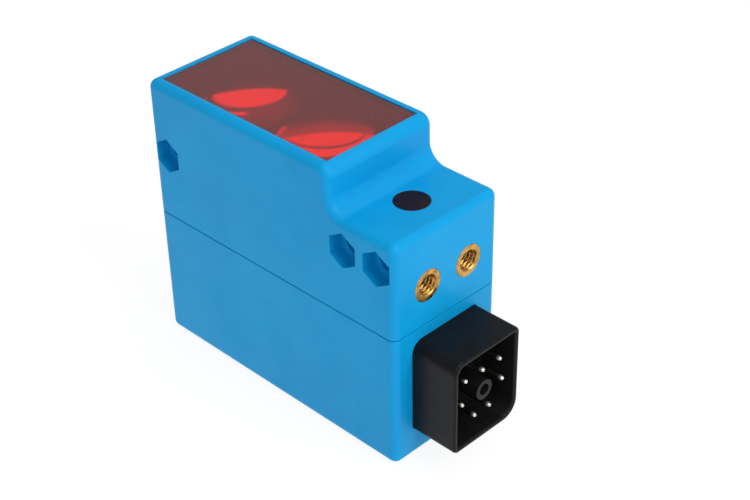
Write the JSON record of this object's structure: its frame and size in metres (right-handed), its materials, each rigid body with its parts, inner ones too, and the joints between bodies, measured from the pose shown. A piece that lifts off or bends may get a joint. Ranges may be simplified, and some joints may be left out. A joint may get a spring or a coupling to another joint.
{
  "type": "photoelectric sensor",
  "caption": "Block-shaped photoelectric sensor with a recessed red window over its lenses, side nut pockets and a keyed rectangular plug at one end.",
  "frame": {"origin": "centre of the housing's rear face, the flat face opposite the window", "axes": "+X along the length, towards the plug; +Z out of the window, along the light beam; +Y across the width"},
  "size_m": [0.0973, 0.035, 0.075],
  "materials": {
    "blue_housing": "satin, fine moulded grain",
    "housing_seal": "matt dark blue elastomer",
    "window_red": "dark red tinted acrylic, polished",
    "black_rubber": "matt",
    "indicator_lens": "polished, smoked red",
    "insert_brass": "turned, slightly dulled",
    "screw_steel": "zinc plated",
    "black_plastic": "satin, glass filled",
    "lens_red": "polished, red tinted",
    "board_green": "solder mask",
    "led_red": "clear red epoxy",
    "diode_dark": "daylight-blocking epoxy",
    "shield_tin": "tinned sheet",
    "chip_black": "moulded epoxy",
    "led_amber": "clear epoxy",
    "pin_gold": "gold flashed",
    "can_aluminium": "sleeved can",
    "varistor_blue": "dipped epoxy",
    "ferrite": "ground ferrite",
    "copper_winding": "enamelled copper wire",
    "relay_blue": "moulded, semi gloss",
    "iron": "nickel plated iron",
    "trimmer_blue": "moulded",
    "adjuster_white": "moulded, satin",
    "contact_silver": "silver plated"
  },
  "bodies": {
    "sensor": {"front_housing": "blue_housing", "rear_housing": "blue_housing", "housing_seal": "housing_seal", "front_window": "window_red", "window_seal": "black_rubber", "indicator_lens": "indicator_lens", "thread_insert_near": "insert_brass", "thread_insert_far": "insert_brass", "screw_inserts": "insert_brass", "housing_screws": "screw_steel", "lens_holder": "black_plastic", "sender_lens": "lens_red", "receiver_lens": "lens_red", "holder_screws": "screw_steel", "optics_board": "board_green", "optics_screws": "screw_steel", "sender_led": "led_red", "receiver_diode": "diode_dark", "receiver_shield": "shield_tin", "signal_chip": "chip_black", "status_led": "led_amber", "board_link": "pin_gold", "main_board": "board_green", "board_screws": "screw_steel", "controller_chip": "chip_black", "bulk_capacitor": "can_aluminium", "output_capacitor": "can_aluminium", "varistor": "varistor_blue", "transformer_core": "ferrite", "transformer_coil": "copper_winding", "relay_base": "black_plastic", "relay_case": "relay_blue", "relay_coil": "copper_winding", "relay_core": "iron", "relay_yoke": "iron", "relay_contacts": "contact_silver", "sensitivity_potentiometer": "trimmer_blue", "sensitivity_seal": "black_rubber", "mode_switch": "black_plastic", "mode_seal": "black_rubber", "plug_shell": "black_plastic", "plug_gasket": "black_rubber", "pin_carrier": "black_plastic", "plug_bush": "insert_brass", "connector_board": "board_green", "bridge_header": "black_plastic", "contact_pin_1": "contact_silver", "contact_pin_2": "contact_silver", "contact_pin_3": "contact_silver", "contact_pin_4": "contact_silver", "contact_pin_5": "contact_silver", "contact_pin_6": "contact_silver", "earth_pin": "contact_silver"},
    "sensitivity_rotor": {"sensitivity_adjuster": "adjuster_white"},
    "mode_rotor": {"mode_selector": "adjuster_white"},
    "armature": {"relay_armature": "iron"}
  },
  "joints": [
    {"name": "sensitivity_turn", "type": "hinge", "parent": "sensor", "child": "sensitivity_rotor", "pos_m": [-0.024, 0, 0.00095], "axis": [0, 0, 1], "range_deg": [-135, 135]},
    {"name": "mode_turn", "type": "hinge", "parent": "sensor", "child": "mode_rotor", "pos_m": [-0.01, 0, 0.00095], "axis": [0, 0, 1], "range_deg": [0, 90]},
    {"name": "armature_tilt", "type": "hinge", "parent": "sensor", "child": "armature", "pos_m": [-0.0242, -0.0085, 0.02365], "axis": [0, 1, 0], "range_deg": [0, 2.6], "stiffness_Nm_per_rad": 0.02, "springref_deg": -2.86}
  ]
}
